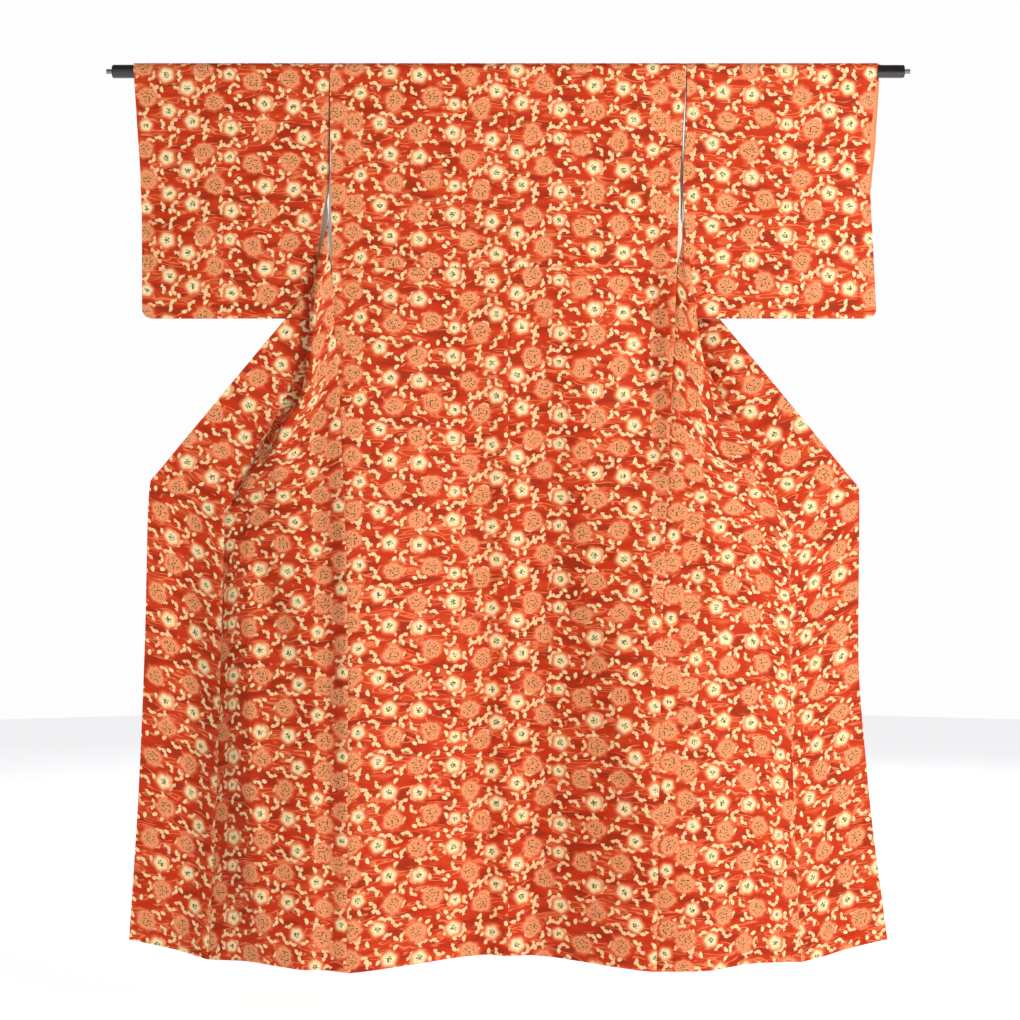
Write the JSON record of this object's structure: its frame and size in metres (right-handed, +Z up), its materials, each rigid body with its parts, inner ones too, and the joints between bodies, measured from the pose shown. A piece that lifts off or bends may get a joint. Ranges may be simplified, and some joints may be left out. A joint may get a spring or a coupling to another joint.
{
  "type": "komon kimono on a hanging rod",
  "caption": "Lined kimono of patterned silk crepe hung by its sleeves on a lacquered rod, seen from the back with both fronts drawn out sideways.",
  "frame": {"origin": "middle of the rod's axis, where the rod is held", "axes": "+Z up, the rod along X, the back of the kimono faces -Y, +X is the right of one who looks at its back"},
  "size_m": [1.3816, 0.1312, 1.546],
  "materials": {
    "crepe": "silk crepe, printed, matt with a slight sheen",
    "lining": "plain silk lining, peach orange",
    "lacquer": "black lacquer, glossy",
    "pin": "turned metal pin"
  },
  "bodies": {
    "root": {"body_left": "crepe", "body_right": "crepe", "okumi_left": "crepe", "okumi_right": "crepe", "sleeve_left": "crepe", "sleeve_right": "crepe", "collar": "crepe", "cuff_lining_right": "lining", "rod": "lacquer", "rod_pin_left": "pin", "rod_pin_right": "pin"}
  },
  "joints": []
}
